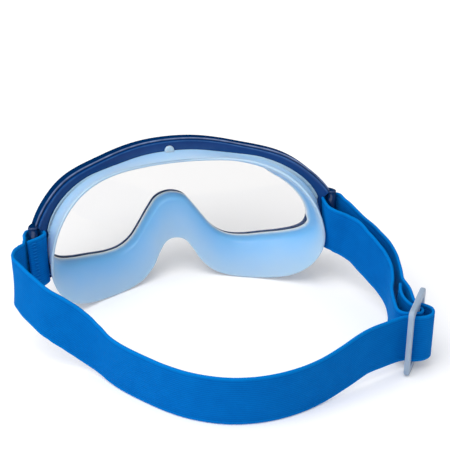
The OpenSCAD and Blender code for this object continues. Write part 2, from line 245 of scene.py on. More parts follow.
def dress(obj, node, body):
    """Hides the solid that a piece stands for and hangs the piece on the body it rides on."""
    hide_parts(node)
    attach(obj, body)


# Materials
def new_material(name, color, roughness, **sockets):
    m = bpy.data.materials.new(name)
    m.use_nodes = True
    shader = m.node_tree.nodes["Principled BSDF"]
    shader.inputs["Base Color"].default_value = (*color, 1)
    shader.inputs["Roughness"].default_value = roughness
    for key, value in sockets.items():
        shader.inputs[key.replace("_", " ")].default_value = value
    m.diffuse_color = (*color, 1)
    return m, m.node_tree, shader


def feed(node, socket, output):
    node.id_data.links.new(output, node.inputs[socket])


def math_node(tree, operation, a, b=None, clamp=False):
    node = tree.nodes.new("ShaderNodeMath")
    node.operation = operation
    node.use_clamp = clamp
    for i, x in enumerate([a, b]):
        if isinstance(x, (int, float)):
            node.inputs[i].default_value = x
        elif x is not None:
            feed(node, i, x)
    return node.outputs[0]


def times(tree, a, b, clamp=False):
    return math_node(tree, "MULTIPLY", a, b, clamp)


def plus(tree, a, b, clamp=False):
    return math_node(tree, "ADD", a, b, clamp)


def wave(tree, x):
    """Humps from 0 to 1, one to each pi of x."""
    return math_node(tree, "ABSOLUTE", math_node(tree, "SINE", x))


def noise(tree, scale, detail, rough=0.5, stretch=None):
    where = tree.nodes.new("ShaderNodeTexCoord").outputs["Object"]
    node = tree.nodes.new("ShaderNodeTexNoise")
    node.inputs["Scale"].default_value = scale
    node.inputs["Detail"].default_value = detail
    node.inputs["Roughness"].default_value = rough
    if stretch:
        mapping = tree.nodes.new("ShaderNodeMapping")
        mapping.inputs["Scale"].default_value = stretch
        feed(mapping, "Vector", where)
        where = mapping.outputs["Vector"]
    feed(node, "Vector", where)
    return node.outputs["Fac"]


def ramp(tree, fac, stops):
    node = tree.nodes.new("ShaderNodeValToRGB")
    first, last = node.color_ramp.elements[0], node.color_ramp.elements[1]
    first.position, first.color = stops[0][0], (*stops[0][1], 1)
    last.position, last.color = stops[-1][0], (*stops[-1][1], 1)
    for at, color in stops[1:-1]:
        node.color_ramp.elements.new(at).color = (*color, 1)
    feed(node, "Fac", fac)
    return node.outputs["Color"]


def spread(tree, fac, span, into):
    """Maps fac from one span of numbers into another."""
    node = tree.nodes.new("ShaderNodeMapRange")
    for socket, value in zip(["From Min", "From Max", "To Min", "To Max"], [*span, *into]):
        node.inputs[socket].default_value = value
    feed(node, "Value", fac)
    return node.outputs["Result"]


def bump(tree, shader, height, distance, strength):
    node = tree.nodes.new("ShaderNodeBump")
    node.inputs["Distance"].default_value = distance
    node.inputs["Strength"].default_value = strength
    feed(node, "Height", height)
    feed(shader, "Normal", node.outputs["Normal"])


def attribute(tree, name):
    node = tree.nodes.new("ShaderNodeAttribute")
    node.attribute_name = name
    return node.outputs["Fac"]


def mix_color(tree, fac, a, b):
    node = tree.nodes.new("ShaderNodeMix")
    node.data_type = "RGBA"
    feed(node, 0, fac)
    for socket, x in ((6, a), (7, b)):
        if isinstance(x, tuple):
            node.inputs[socket].default_value = (*x, 1)
        else:
            feed(node, socket, x)
    return node.outputs[2]


def moulded_plastic(name, dark, light, pale_edges, gloss):
    """Glossy moulded plastic: faint flow marks, fine scratches, and paler edges,
    partly from rubbing and partly a painted highlight.
    """
    m, tree, shader = new_material(name, dark, gloss, Specular_IOR_Level=0.12)
    facing = tree.nodes.new("ShaderNodeLayerWeight").outputs["Facing"]
    feed(shader, "Specular IOR Level", spread(tree, facing, (0.3, 0.6), (0.25, 0.0)))
    base = ramp(tree, noise(tree, 45, 4), [(0.3, dark), (0.7, light)])
    patchy = spread(tree, noise(tree, 250, 4), (0.3, 0.7), (0.45, 1.0))
    # Paler edges from the per-point mask: edge wear at some corners, a painted highlight at others.
    edge = times(tree, attribute(tree, "wear"), patchy, clamp=True)
    feed(shader, "Base Color", mix_color(tree, edge, base, pale_edges))
    scratches = noise(tree, 60, 6, rough=0.75, stretch=(1, 14, 9))
    feed(shader, "Roughness", spread(tree, scratches, (0.35, 0.75), (gloss, gloss + 0.08)))
    bump(tree, shader, noise(tree, 300, 2), 0.00001, 0.3)
    return m


# Webbing's texture coordinates hold millimetres in hundredths
UV_PER_MM, MM_PER_UV = 0.01, 100.0
CORD_PITCH, WEFT_PITCH = 1.05, 0.62


def webbing_material(name, dark, light, edge):
    """Woven elastic: cords along the length, brick-like weft ticks across, a firmer selvedge."""
    m, tree, shader = new_material(name, light, 0.72, Sheen_Weight=0.3, Sheen_Roughness=0.45,
                                   Specular_IOR_Level=0.02)
    shader.inputs["Sheen Tint"].default_value = (0.0, 0.42, 1.0, 1)
    split = tree.nodes.new("ShaderNodeSeparateXYZ")
    feed(split, "Vector", tree.nodes.new("ShaderNodeUVMap").outputs["UV"])
    length = times(tree, split.outputs["X"], MM_PER_UV)
    width = times(tree, split.outputs["Y"], MM_PER_UV)
    cord = wave(tree, times(tree, width, math.pi / CORD_PITCH))
    row = math_node(tree, "ROUND", math_node(tree, "DIVIDE", width, CORD_PITCH))
    brick = times(tree, times(tree, row, math.pi), 0.5)
    weft = wave(tree, plus(tree, times(tree, length, math.pi / WEFT_PITCH), brick))
    height = times(tree, cord, plus(tree, times(tree, weft, 0.45), 0.55))
    fuzz, patches = noise(tree, 6000, 4), noise(tree, 130, 3)
    mottle = times(tree, plus(tree, fuzz, patches), 0.32)
    shade = plus(tree, times(tree, height, 0.4), mottle, clamp=True)
    body = ramp(tree, shade, [(0.15, dark), (0.75, light)])
    feed(shader, "Base Color", mix_color(tree, attribute(tree, "wear"), body, edge))
    feed(shader, "Roughness", spread(tree, shade, (0.2, 0.8), (0.82, 0.62)))
    bump(tree, shader, plus(tree, height, times(tree, fuzz, 0.35)), 0.00014, 0.6)
    return m


def silicone_material():
    """Milky silicone, deeper in colour where the wall is thicker and, as painted shade, down the
    inner wall toward the lens; a painted highlight on the rounded root at the lens; a faint satin
    grain.
    """
    m, tree, shader = new_material("soft_silicone", (0.30, 0.56, 0.86), 0.36,
                                   Subsurface_Weight=0.45, Subsurface_Scale=0.004,
                                   Coat_Weight=0.12, Coat_Roughness=0.3)
    shader.inputs["Subsurface Radius"].default_value = (0.5, 0.8, 1.0)
    cloudy = spread(tree, noise(tree, 60, 3), (0.3, 0.7), (-0.05, 0.05))
    # deep holds both thickness and painted shade: darker down the inner wall toward the lens.
    thickness_and_shade = plus(tree, times(tree, attribute(tree, "deep"), 0.85), cloudy, clamp=True)
    color = ramp(tree, thickness_and_shade, [(0.0, (0.44, 0.59, 0.75)), (0.5, (0.25, 0.52, 0.83)),
                               (1.0, (0.12, 0.45, 0.86))])
    # Painted highlight: near-white along the root bead at the lens.
    with_highlight = mix_color(tree, attribute(tree, "bead"), color, (0.88, 0.95, 1.0))
    feed(shader, "Base Color", with_highlight)
    feed(shader, "Roughness", spread(tree, noise(tree, 500, 4), (0.3, 0.7), (0.32, 0.44)))
    bump(tree, shader, noise(tree, 1400, 4), 0.00003, 0.6)
    return m


def clear_material():
    """Clear polished plastic with the faintest ripple and dust of fine scratches."""
    m, tree, shader = new_material("clear_plastic", (0.83, 0.825, 0.82), 0.02,
                                   Transmission_Weight=1.0, IOR=1.25)
    dust = noise(tree, 90, 4, stretch=(1, 5, 12))
    feed(shader, "Roughness", spread(tree, dust, (0.5, 0.8), (0.008, 0.02)))
    bump(tree, shader, noise(tree, 60, 2), 0.00001, 0.2)
    return m


def frosted_material():
    """Frosted translucent plastic with a fine grain."""
    m, tree, shader = new_material("frosted_plastic", (0.40, 0.505, 0.64), 0.42,
                                   Transmission_Weight=0.25, Subsurface_Weight=0.5,
                                   Subsurface_Scale=0.003, IOR=1.49)
    shader.inputs["Subsurface Radius"].default_value = (0.8, 0.9, 1.0)
    stops = [(0.3, (0.355, 0.46, 0.60)), (0.7, (0.445, 0.55, 0.68))]
    feed(shader, "Base Color", ramp(tree, noise(tree, 120, 4), stops))
    feed(shader, "Roughness", spread(tree, noise(tree, 800, 4), (0.3, 0.7), (0.34, 0.5)))
    bump(tree, shader, noise(tree, 1500, 3), 0.00003, 0.5)
    return m


def thread_material():
    m, tree, shader = new_material("sewing_thread", (0.0, 0.16, 0.56), 0.7,
                                   Specular_IOR_Level=0.1)
    twist = noise(tree, 2500, 3, stretch=(1, 1, 4))
    color = ramp(tree, twist, [(0.3, (0.0, 0.11, 0.42)), (0.7, (0.0, 0.2, 0.62))])
    feed(shader, "Base Color", color)
    bump(tree, shader, twist, 0.00008, 0.8)
    return m


# The pale edge colour serves both edge wear and painted highlight lines along the frames.
navy = moulded_plastic("navy_plastic", dark=(0.0, 0.016, 0.075), light=(0.0, 0.026, 0.11),
                       pale_edges=(0.3, 0.4, 0.68), gloss=0.16)
navy_rear = moulded_plastic("navy_plastic_rear", dark=(0.0, 0.028, 0.14),
                            light=(0.0, 0.038, 0.18), pale_edges=(0.03, 0.12, 0.32), gloss=0.2)
web_blue = webbing_material("elastic_webbing", dark=(0.0, 0.078, 0.34), light=(0.0, 0.145, 0.50),
                            edge=(0.0, 0.18, 0.57))
silicone, clear = silicone_material(), clear_material()
frosted, thread = frosted_material(), thread_material()


# The frame's rings and the skirt share the window's outline
def edge_band(i):
    """Width of the frame outside the window: wider over the brow and at its upper ends."""
    x, z = window[i]
    brow = BROW_FLARE * smooth((z - BROW_FROM) / BROW_OVER)
    end = END_FLARE * smooth((abs(x) / LENS_W - END_FROM) / END_OVER)
    return FRAME_BAND + brow + end * smooth(z / END_RISE)


def beside_slot(i):
    """How far a station lies beside a strap slot, from 0 to 1."""
    x, z = window[i]
    if abs(x) <= SLOT_FROM_X:
        return 0.0
    outer_z = z + edge_band(i) * normal[i][1]
    return smooth((BAR_ZONE + SLOT_EASE - abs(outer_z - BAR_Z)) / SLOT_EASE)


def drawn_in(i, t, front=False):
    """t, stretched outside the lens's seat so that FRAME_BAND lands on the frame's edge."""
    if t <= SEAT_BAND:
        return t
    full, beside = edge_band(i), 0 if front else beside_slot(i)
    room = (SLOT_X - abs(window[i][0])) / max(abs(normal[i][0]), 0.2)
    edge = full * (1 - beside) + min(full, max(room, SLOT_REST)) * beside
    return SEAT_BAND + (t - SEAT_BAND) * (edge - SEAT_BAND) / (FRAME_BAND - SEAT_BAND)


def on_shell(i, t, s, front=False):
    x, z = window[i] + drawn_in(i, t, front) * normal[i]
    return np.array([x, shell_y(x, s), z])


def edge_wear(profile, corners, reach=0.7):
    return [max([0.0] + [1 - math.dist(p, c) / reach for c in corners]) for p in profile]


# Front frame: the bezel ring, two arms on each side and the strap bars between them.
# A ring's profile is a list of (t, s, corner radius).
front_profile = rounded([(0.0, SEAT_S, 0.15), (0.0, FRAME_FRONT, 0.5),
                         (FRAME_BAND, FRAME_FRONT, 1.3), (FRAME_BAND, 1.0, 0.6),
                         (FRAME_BAND, 0.2, 0.3), (FRAME_BAND, -FRAME_BACK, 0.8),
                         (GROOVE_BAND, -FRAME_BACK, 0.3), (GROOVE_BAND, -0.05, 0.1),
                         (SEAT_BAND, -0.05, 0.1), (SEAT_BAND, SEAT_S, 0.1)], 0.3)
# Paler edges: light wear on the front corners, and painted highlight along the back outer edge and
# on the window's inner wall.
front_corners = edge_wear(front_profile, [(0, FRAME_FRONT), (FRAME_BAND, FRAME_FRONT)])
back_edge_highlight = edge_wear(front_profile, [(7.85, -3.35)], 0.5)
window_wall_highlight = edge_wear(front_profile, [(0, 2.45)], 0.6)
front_wear = [0.15 * a + 0.85 * b + 0.9 * c
              for a, b, c in zip(front_corners, back_edge_highlight, window_wall_highlight)]

# An arm's plan: places on the ring as (x, s), and places near the bar as (x, y)
ARM_ON_FRONT = [(62.0, 2.3), (66.5, 2.7), (71.0, 2.6)]
ARM_TO_BAR = [(74.2, -24.3), (76.4, -27.6)]
ARM_ROUND_BAR = np.radians([25, 0, -30, -60, -90, -120, -150])
ARM_FROM_BAR = [(71.2, -30.2), (70.4, -28.2)]
ARM_ON_BACK = [(68.6, -2.6), (65.5, -1.6), (62.0, -0.6)]
ARM_STEPS = 4


def front_point(i, t, s):
    """A point of the bezel, whose front layer runs on past the slot where webbing leaves room."""
    p = on_shell(i, t, s)
    if s < LAYER_BACK or t < LAYER_OUT:
        return p
    wide = on_shell(i, t, s, front=True)
    back = wide[1] if s > LAYER_MIDDLE else max(wide[1], BAR_Y + SLOT_FRONT)
    return np.array([wide[0], back, wide[2]])


def plan_arm(side):
    """Outline of an arm seen from above, in the mask's own axes."""
    on_front = [(x, shell_y(x, s)) for x, s in ARM_ON_FRONT]
    on_back = [(x, shell_y(x, s)) for x, s in ARM_ON_BACK]
    r = BAR_D / 2 + ARM_GRIP
    grip = [(BAR_X + r * math.cos(a), BAR_Y + r * math.sin(a)) for a in ARM_ROUND_BAR]
    pts = spline(on_front + ARM_TO_BAR + grip + ARM_FROM_BAR + on_back, ARM_STEPS, closed=True)
    return np.stack([side * pts[:, 0], pts[:, 1]], 1)


def rounded_slab(outline, low, high, radius, steps=4):
    """Rings of a flat slab with rounded edges, from its lower face to its upper one."""
    n = outline_normals(outline)
    if np.mean(np.sum(n * (outline - outline.mean(0)), 1)) < 0:
        n = -n
    angles = np.linspace(0, math.pi / 2, steps + 1)
    levels = [(radius * (1 - math.sin(a)), low + radius * (1 - math.cos(a))) for a in angles]
    levels += [(radius * (1 - math.cos(a)), high - radius * (1 - math.sin(a))) for a in angles]
    return [[(*(q - inset * k), z) for q, k in zip(outline, n)] for inset, z in levels]


parts = Parts()
parts.add([front_point(i, t, s) for i in range(stations) for t, s in front_profile],
          loft(stations, len(front_profile), closed=True), wear=front_wear * stations)
for side in (-1, 1):
    outline = plan_arm(side)
    for end in (-1, 1):
        middle = BAR_Z + end * (BAR_ZONE + ARM_T / 2)
        rings = rounded_slab(outline, middle - ARM_T / 2, middle + ARM_T / 2, ARM_EDGE)
        pale_edges = [ARM_WEAR if 0 < i < len(rings) - 1 else 0.0
                for i in range(len(rings)) for _ in outline]
        parts.add([p for r in rings for p in r], loft(len(rings), len(outline), caps=True),
                  wear=pale_edges)
    around = np.radians(np.arange(0, 360, 15))
    heights = (-BAR_ZONE - BAR_SINK, -BAR_RING, BAR_RING, BAR_ZONE + BAR_SINK)
    tube = [(side * BAR_X + BAR_D / 2 * math.cos(a), BAR_Y + BAR_D / 2 * math.sin(a), BAR_Z + z)
            for z in heights for a in around]
    parts.add(tube, loft(len(heights), len(around), flip=True, caps=True))

front_frame = weighted(parts.made("front_frame_shell", navy, in_mask=True))
dress(front_frame, "front_frame", "mask")

# Rear frame: the ring that clamps the skirt's flange
rear_profile = rounded([(4.55, -1.55, 0.1), (4.55, -3.7, 0.1), (7.2, -3.7, 0.3),
                        (7.2, REAR_S, 0.7), (2.75, REAR_S, 0.5), (2.75, -1.55, 0.1)], 0.3)
# Paler at the ring's two back corners.
rear_wear = edge_wear(rear_profile, [(7.2, REAR_S), (2.75, REAR_S)])
parts = Parts()
parts.add([on_shell(i, t, s) for i in range(stations) for t, s in rear_profile],
          loft(stations, len(rear_profile), closed=True), wear=rear_wear * stations)
rear_frame = weighted(parts.made("rear_frame_ring", navy_rear, in_mask=True))
dress(rear_frame, "rear_frame", "mask")

# Skirt: flange, shoulder, wall, soft rounded lip, and a root that rounds into a bead at the lens,
# where a painted highlight makes it pale. Flange is (t, s), shoulder (t past the wall at full
# room, s), and root (t, the share of the cover added to it, s).
FLANGE = [(4.45, -0.2), (4.45, -1.3), (3.2, -1.35), (WALL_BAND, -1.4), (WALL_BAND, -3.2),
          (WALL_BAND, -5.7)]
SHOULDER = [(1.0, -5.9), (1.9, -5.98), (2.3, -6.2), (2.4, -6.6)]
ROOT = [(0.5, -0.4, -3.6), (0.3, -0.8, -2.2), (0.08, -1.0, -1.3), (0.0, -1.0, -0.7),
        (0.08, -1.0, -0.3), (0.3, -0.7, -0.2), (1.6, 0.0, -0.2)]
# Places down the wall, from 0 to 1, and how far its outer face is lifted off there at full room
WALL_U = [0.1, 0.18, 0.28, 0.4, 0.52, 0.64, 0.77, 0.87, 0.94]
LIFTS = [2.1, 1.7, 1.15, 0.55, 0.2, 0, 0, 0, 0]
TAB_PROFILE = [(0.001, 1.2), (1.2, 1.19), (1.9, 1.12), (2.3, 0.9), (2.45, 0.5), (2.45, 0.0),
               (0.001, 0.0)]


def wall_curve(i, u):
    """The wall's outer face from its root, at u = 0, to its lip, at u = 1."""
    a = on_shell(i, WALL_BAND, REAR_S)
    x, z, y = lip[i]
    b = np.array([x, y - LIP_SWEEP * (x / LIP_HALF) ** 2, z])
    m = a + (b - a) * WALL_BOW
    return (1 - u) ** 2 * a + 2 * u * (1 - u) * m + u * u * b


def wall_slope(i, u):
    d = wall_curve(i, min(u + SLOPE_STEP, 1)) - wall_curve(i, max(u - SLOPE_STEP, 0))
    return unit(np.array([d[0] * normal[i][0] + d[2] * normal[i][1], d[1]]))


def inward(i, u, t):
    """A place t inside the wall's outer face."""
    g, n = wall_slope(i, u), normal[i]
    return wall_curve(i, u) + t * np.array([g[1] * n[0], -g[0], g[1] * n[1]])


def wall_thickness(u):
    return SKIRT_T - LIP_THINNER * smooth((u - 0.5) / 0.5)


def skirt_ring(i):
    x, z = window[i]
    rise = SHOULDER_LOW + (1 - SHOULDER_LOW) * smooth((z - SHOULDER_FROM) / SHOULDER_OVER)
    room = rise * (1 - BROW_LESS * smooth((z - BROW_LESS_FROM) / BROW_LESS_OVER))
    cover = COVER * smooth((abs(x) - COVER_FROM_X) / COVER_OVER_X)
    cover *= smooth((z - COVER_FROM_Z) / COVER_OVER_Z)
    flange = [on_shell(i, t, s) for t, s in FLANGE]
    flange += [on_shell(i, WALL_BAND + room * k, s) for k, s in SHOULDER]
    outer = [inward(i, max(u, SHOULDER_START), -room * lift) for u, lift in zip(WALL_U, LIFTS)]
    tip, g, r = wall_curve(i, 1.0), wall_slope(i, 1.0), wall_thickness(1.0) / 2
    inner_way = inward(i, 1.0, 1.0) - tip
    back_way = np.array([g[0] * normal[i][0], g[1], g[0] * normal[i][1]])
    centre = tip - back_way * r + inner_way * r
    edge = [centre - inner_way * r * math.cos(a) + back_way * r * math.sin(a)
            for a in np.linspace(0, math.pi, LIP_STEPS)]
    inner = [inward(i, u, wall_thickness(u)) for u in WALL_U[::-1]] + [inward(i, 0, SKIRT_T)]
    root = [on_shell(i, t + share * cover, s) for t, share, s in ROOT]
    return flange + outer + edge + inner + root


# Depth of colour at the ring's points, in the order of skirt_ring: deeper where the silicone is
# thicker, and darker down the inner wall toward the lens as painted shade.
depth_and_shade = [0.9] * 5 + [0.45] * 5 + [0.4 * (1 - u) for u in WALL_U] + [0.05] * LIP_STEPS
depth_and_shade += [0.1 + 0.8 * (1 - u) ** 1.3 for u in WALL_U[::-1]]
depth_and_shade += [0.9, 0.9, 0.85, 0.7, 0.5, 0.4, 0.5, 0.8]
# Painted highlight on the root bead at the lens, near-white at its middle points.
bead = [0.0] * (len(depth_and_shade) - 6) + [0.35, 1.0, 0.8, 0.1, 0.0, 0.0]
parts = Parts()
parts.add([p for i in range(stations) for p in skirt_ring(i)],
          loft(stations, len(depth_and_shade), closed=True), deep=depth_and_shade * stations, bead=bead * stations)
# The round locating tab over the brow, from its profile of (radius, height)
brow = np.array([0.0, shell_y(0, REAR_S) - TAB_SINK, window_half[0][1] + TAB_UP])
around = np.radians(np.linspace(0, 360, TAB_STEPS, endpoint=False))
tab = [brow + (r * math.cos(a), -y, r * math.sin(a)) for r, y in TAB_PROFILE for a in around]
parts.add(tab, loft(len(TAB_PROFILE), TAB_STEPS), deep=[0.1] * len(tab))
skirt = parts.made("skirt_shell", silicone, in_mask=True)
dress(skirt, "skirt", "mask")


# Lens: a curved pane with its rim in the bezel
def pane(columns=220, rows=14):
    """Points of the back and front faces, their faces, and those of the rim."""
    outline = np.array([window[i] + LENS_RIM * normal[i] for i in range(stations)])
    side = outline[:, 0].max() - LENS_INSET
    xs = side * np.sin(np.linspace(-math.pi / 2, math.pi / 2, columns))
    spans = []
    for x in xs:
        crossings = []
        for a, b in zip(outline, np.roll(outline, -1, axis=0)):
            if (a[0] - x) * (b[0] - x) <= 0 and abs(a[0] - b[0]) > 1e-9:
                crossings.append(a[1] + (x - a[0]) / (b[0] - a[0]) * (b[1] - a[1]))
        spans.append((min(crossings), max(crossings)))
    share = np.linspace(0, 1, rows)
    back, front = [[(x, shell_y(x, s), lo + (hi - lo) * up)
                    for x, (lo, hi) in zip(xs, spans) for up in share] for s in (LENS_LIFT, LENS_T)]
    k = len(back)
    faces = []
    for i in range(columns - 1):
        for j in range(rows - 1):
            q = [i * rows + j, (i + 1) * rows + j, (i + 1) * rows + j + 1, i * rows + j + 1]
            faces += [q, [k + v for v in q[::-1]]]
    last = (columns - 1) * rows
    border = [i * rows for i in range(columns)] + [last + j for j in range(1, rows)]
    border += [i * rows + rows - 1 for i in range(columns - 2, -1, -1)]
    border += list(range(rows - 2, 0, -1))
    rims = [[b, a, k + a, k + b] for a, b in zip(border, border[1:] + border[:1])]
    return back + front, faces, rims


points, faces, rims = pane()
lens = build_mesh("lens_pane", to_row(points), faces + rims, clear,
                  flat_faces=range(len(faces), len(faces) + len(rims)))
lens.visible_shadow = False
dress(lens, "lens", "mask")

# The strap: one strip of webbing from the sewn left loop to the sewn fold at the slider.
# Loop points are (x, y, drop, lean): x and y from the bar, drop the sag, lean the share of the
# mask's own lean. Run points are (x, y, height of the lower edge). Turns through the slider are
# (along it, across it).
left_loop_route = [(-3.8, -9.6, 1.4, 1), (-0.6, -8.0, 1.2, 1), (2.6, -6.0, 0.8, 1),
                   (4.9, -2.8, 0.2, 1), (3.7, 1.4, 0, 1), (0.3, 3.6, 0, 1), (-2.7, 2.6, 0, 1),
                   (-4.4, -0.8, 0.3, 1), (-5.2, -5.0, 1.1, 1), (-6.3, -8.9, 2.0, 1),
                   (-8.7, -11.7, 2.6, 1), (-11.4, -15.2, 3.0, 1)]
right_loop_route = [(9.6, -14.2, 8.0, 0.5), (6.8, -8.6, 4.2, 0.6), (4.8, -3.4, 1.2, 0.8),
                    (3.6, 1.0, 0, 1), (0.4, 3.4, 0, 0.9), (-3.6, 1.6, 0.3, 0.7),
                    (-4.9, -3.0, 1.5, 0.0), (-4.4, -7.8, 2.4, -0.5), (-1.8, -11.6, 3.6, -0.5),
                    (1.8, -14.8, 5.4, -0.3)]
front_route = [(-88, -50, 21.2), (-86, -57, 20), (-82.6, -63.5, 18), (-78, -70, 15.4),
               (-72.6, -74.6, 12.6), (-67, -78.4, 9), (-61.6, -82.6, 5), (-56.6, -88, 2),
               (-52.4, -95.4, 0.4), (-47.4, -103.6, 0), (-41, -112.4, 0), (-33.4, -121.6, 0),
               (-24, -130, 0), (-12, -136.6, 0), (0, -139.6, 0), (12, -139.8, 0),
               (24, -137.6, 0), (36, -133.4, 0.4), (48, -128.6, 2.4), (59.4, -124.3, 5.3),
               (69.6, -120.6, 5.3)]
outer_route = [(91.2, -95.4, 5.3), (91.4, -86, 5.3), (92.8, -78, 7.4), (94, -69, 8.8),
               (93.1, -60, 10.6), (89.4, -51, 13.2)]
inner_route = [(80.2, -49, 17.8), (82.8, -55, 15.4), (85.5, -61.6, 12.8), (87.8, -69, 10),
               (88.4, -77, 7.4), (86.4, -85.6, 5.6), (82.6, -94.4, 5.3)]
bight_turns = [(-7.4, -3.6), (-5.8, 2.2), (-3.3, 6), (0.4, 7.7), (4.1, 6.2), (5.7, 2), (7, -2.4)]
fold_turns = [(-1.4, -9.2), (-4.4, -5), (-3.2, -1.6), (-2.5, 0.9), (-1.5, 2.3), (0, 2.7),
              (1.5, 2.3), (2.5, 0.9), (3, -1.4), (4.8, -4.8), (8.8, -8.4), (14, -11),
              (19.4, -12.5)]
# A run leans with the mask up to LEAN_FULL from a bar, and not at all from LEAN_END on
LEAN_FULL, LEAN_END, RIGHT_RUN_LEAN = 20, 60, 0.2
FLOOR_GAP = 0.02
SLIDER = np.array([87.4, -113.8])
SLIDER_TURN = math.radians(55)
SLIDER_L, BAR_STEP, RIB_W, RIB_T, END_W = 35.6, 10.9, 3.4, 2.6, 4.0
SLIDER_EDGE, SLIDER_CORNER, SLOT_CORNER = 0.8, 2.6, 1.2
SLIDER_ROUND = np.radians([-90, -65, -40, -15, 15, 40, 65, 90])


def loop_points(route, side):
    out = []
    for x, y, drop, lean in route:
        p = to_row([side * BAR_X + x, BAR_Y + y, BAR_Z])[0] - (0, 0, drop)
        out.append((*p, lean))
    return out


def run_points(route):
    """A run's points, leaning with the mask where they come near a bar."""
    out = []
    for x, y, z in route:
        p = np.array([x, y, z + half_w]) - FOOT
        near = min(np.linalg.norm(p - BAR_L), np.linalg.norm(p - BAR_R))
        share = RIGHT_RUN_LEAN if x > 0 else 1.0
        out.append((*p, share * min(max((LEAN_END - near) / (LEAN_END - LEAN_FULL), 0), 1)))
    return out


def slider_point(a, b, z=SLIDER_L / 2):
    c, s = math.cos(SLIDER_TURN), math.sin(SLIDER_TURN)
    return tuple(np.array([SLIDER[0] + a * c + b * s, SLIDER[1] + a * s - b * c, z]) - FOOT)


def slider_points(turns):
    return [(*slider_point(a, b), 0.0) for a, b in turns]


spans = [("left_loop", loop_points(left_loop_route, -1)), ("front", run_points(front_route)),
         ("bight", slider_points(bight_turns)), ("outer", run_points(outer_route)),
         ("right_loop", loop_points(right_loop_route, 1)), ("inner", run_points(inner_route)),
         ("fold", slider_points(fold_turns))]
STRAP_STEPS = 6
starts = np.cumsum([0] + [len(pts) for _, pts in spans])
placed = spline([p for _, pts in spans for p in pts], STRAP_STEPS)
centre, lean = placed[:, :3], placed[:, 3:]
centre[:, 2] = np.maximum(centre[:, 2], half_w + FLOOR_GAP)
ups = lean * MASK_UP + (1 - lean) * np.array([0, 0, 1.0])
tangent = np.gradient(centre, axis=0)
tangent /= np.linalg.norm(tangent, axis=1)[:, None]
across = ups - np.sum(ups * tangent, 1)[:, None] * tangent
across /= np.linalg.norm(across, axis=1)[:, None]
outward = np.cross(tangent, across)
steps_along = np.linalg.norm(np.diff(centre, axis=0), axis=1)
run_length = np.concatenate([[0], np.cumsum(steps_along)])

# The webbing's cross-section: a groove marks off each selvedge, as (distance from the edge, depth).
# It is worn pale within each distance of its edge, as (distance, share).
SELVEDGE = [(0.55, 0), (1.35, 0), (1.75, 0.14), (2.15, 0)]
EDGE_ROUND, EDGE_HALF = 0.14, 0.44
EDGE_WORN, SELVEDGE_WORN = (0.6, 0.8), (1.4, 0.25)
left_face = [(-half_w + d, half_t - deep) for d, deep in SELVEDGE]
left_face += [(-8.0, half_t), (-4.0, half_t)]
upper = left_face + [(0.0, half_t)] + [(-w, h) for w, h in left_face[::-1]]
edge = [(half_w - EDGE_ROUND, EDGE_HALF), (half_w, 0), (half_w - EDGE_ROUND, -EDGE_HALF)]
section = upper + edge + [(w, -h) for w, h in upper[::-1]] + [(-w, -h) for w, h in edge]


def webbing_wear(w):
    """How pale the webbing is at w from its middle line: most at the edge."""
    for inside, share in (EDGE_WORN, SELVEDGE_WORN):
        if abs(w) > half_w - inside:
            return share
    return 0.0


def strap_piece(name, node, first, last):
    """The strip of webbing between two places on its centre line."""
    n, m = last - first + 1, len(section)
    rings = [centre[i] + w * across[i] + h * outward[i]
             for i in range(first, last + 1) for w, h in section]
    faces, uvs = loft(n, m, flip=True), []
    for i in range(first, last):
        u0, u1 = run_length[i] * UV_PER_MM, run_length[i + 1] * UV_PER_MM
        for k in range(m):
            v0, v1 = section[k][0] * UV_PER_MM, section[(k + 1) % m][0] * UV_PER_MM
            uvs.append([(u0, v0), (u0, v1), (u1, v1), (u1, v0)])
    for ring, order in ((rings[:m], range(m - 1, -1, -1)), (rings[(n - 1) * m:n * m], range(m))):
        faces.append([len(rings) + k for k in order])
        uvs.append([(section[k][1] * UV_PER_MM, section[k][0] * UV_PER_MM) for k in order])
        rings += ring
    wear = [webbing_wear(w) for w, _ in section]
    obj = build_mesh(name, rings, faces, web_blue, uvs=uvs, attributes={"wear": wear * (n + 2)},
                     flat_faces=[len(faces) - 2, len(faces) - 1])
    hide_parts(node)
    return obj


# Where the strip is cut, as distances from the bar it passes, or counted in points of a route
LEFT_SEAM, LEFT_RUN_END = 19.0, 46.0
RIGHT_LOOP_END, RIGHT_RUN_END = 11.0, 27.0
PAST_LEFT_TURN, RIGHT_LOOP_MIDDLE, FRONT_BLEND = 6, 5, 7
at = {name: int(starts[i]) * STRAP_STEPS for i, (name, _) in enumerate(spans)}
end = len(centre) - 1
to_bar_l = np.linalg.norm(centre - BAR_L, axis=1)
to_bar_r = np.linalg.norm(centre - BAR_R, axis=1)


def first_beyond(distances, reach, start, stop):
    return next(i for i in range(start, stop) if distances[i] > reach)


def last_beyond(distances, reach, start, stop):
    return max(i for i in range(start, stop) if distances[i] > reach)


left_cut = first_beyond(to_bar_l, LEFT_SEAM, PAST_LEFT_TURN * STRAP_STEPS, end)
left_run = first_beyond(to_bar_l, LEFT_RUN_END, left_cut, end)
bight_first, bight_last = at["bight"] - STRAP_STEPS, at["outer"]
loop_mid = at["right_loop"] + RIGHT_LOOP_MIDDLE * STRAP_STEPS
right_in = last_beyond(to_bar_r, RIGHT_LOOP_END, at["outer"], loop_mid)
right_run_in = last_beyond(to_bar_r, RIGHT_RUN_END, at["outer"], loop_mid)
right_out = first_beyond(to_bar_r, RIGHT_LOOP_END, loop_mid, end)
right_run_out = first_beyond(to_bar_r, RIGHT_RUN_END, loop_mid, end)
fold_first = at["fold"] - STRAP_STEPS


def blend_between(obj):
    """Bakes a run's placement into its points."""
    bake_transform(obj)


def blend_loop(obj):
    """Bakes a loop's placement into its points."""
    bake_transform(obj)


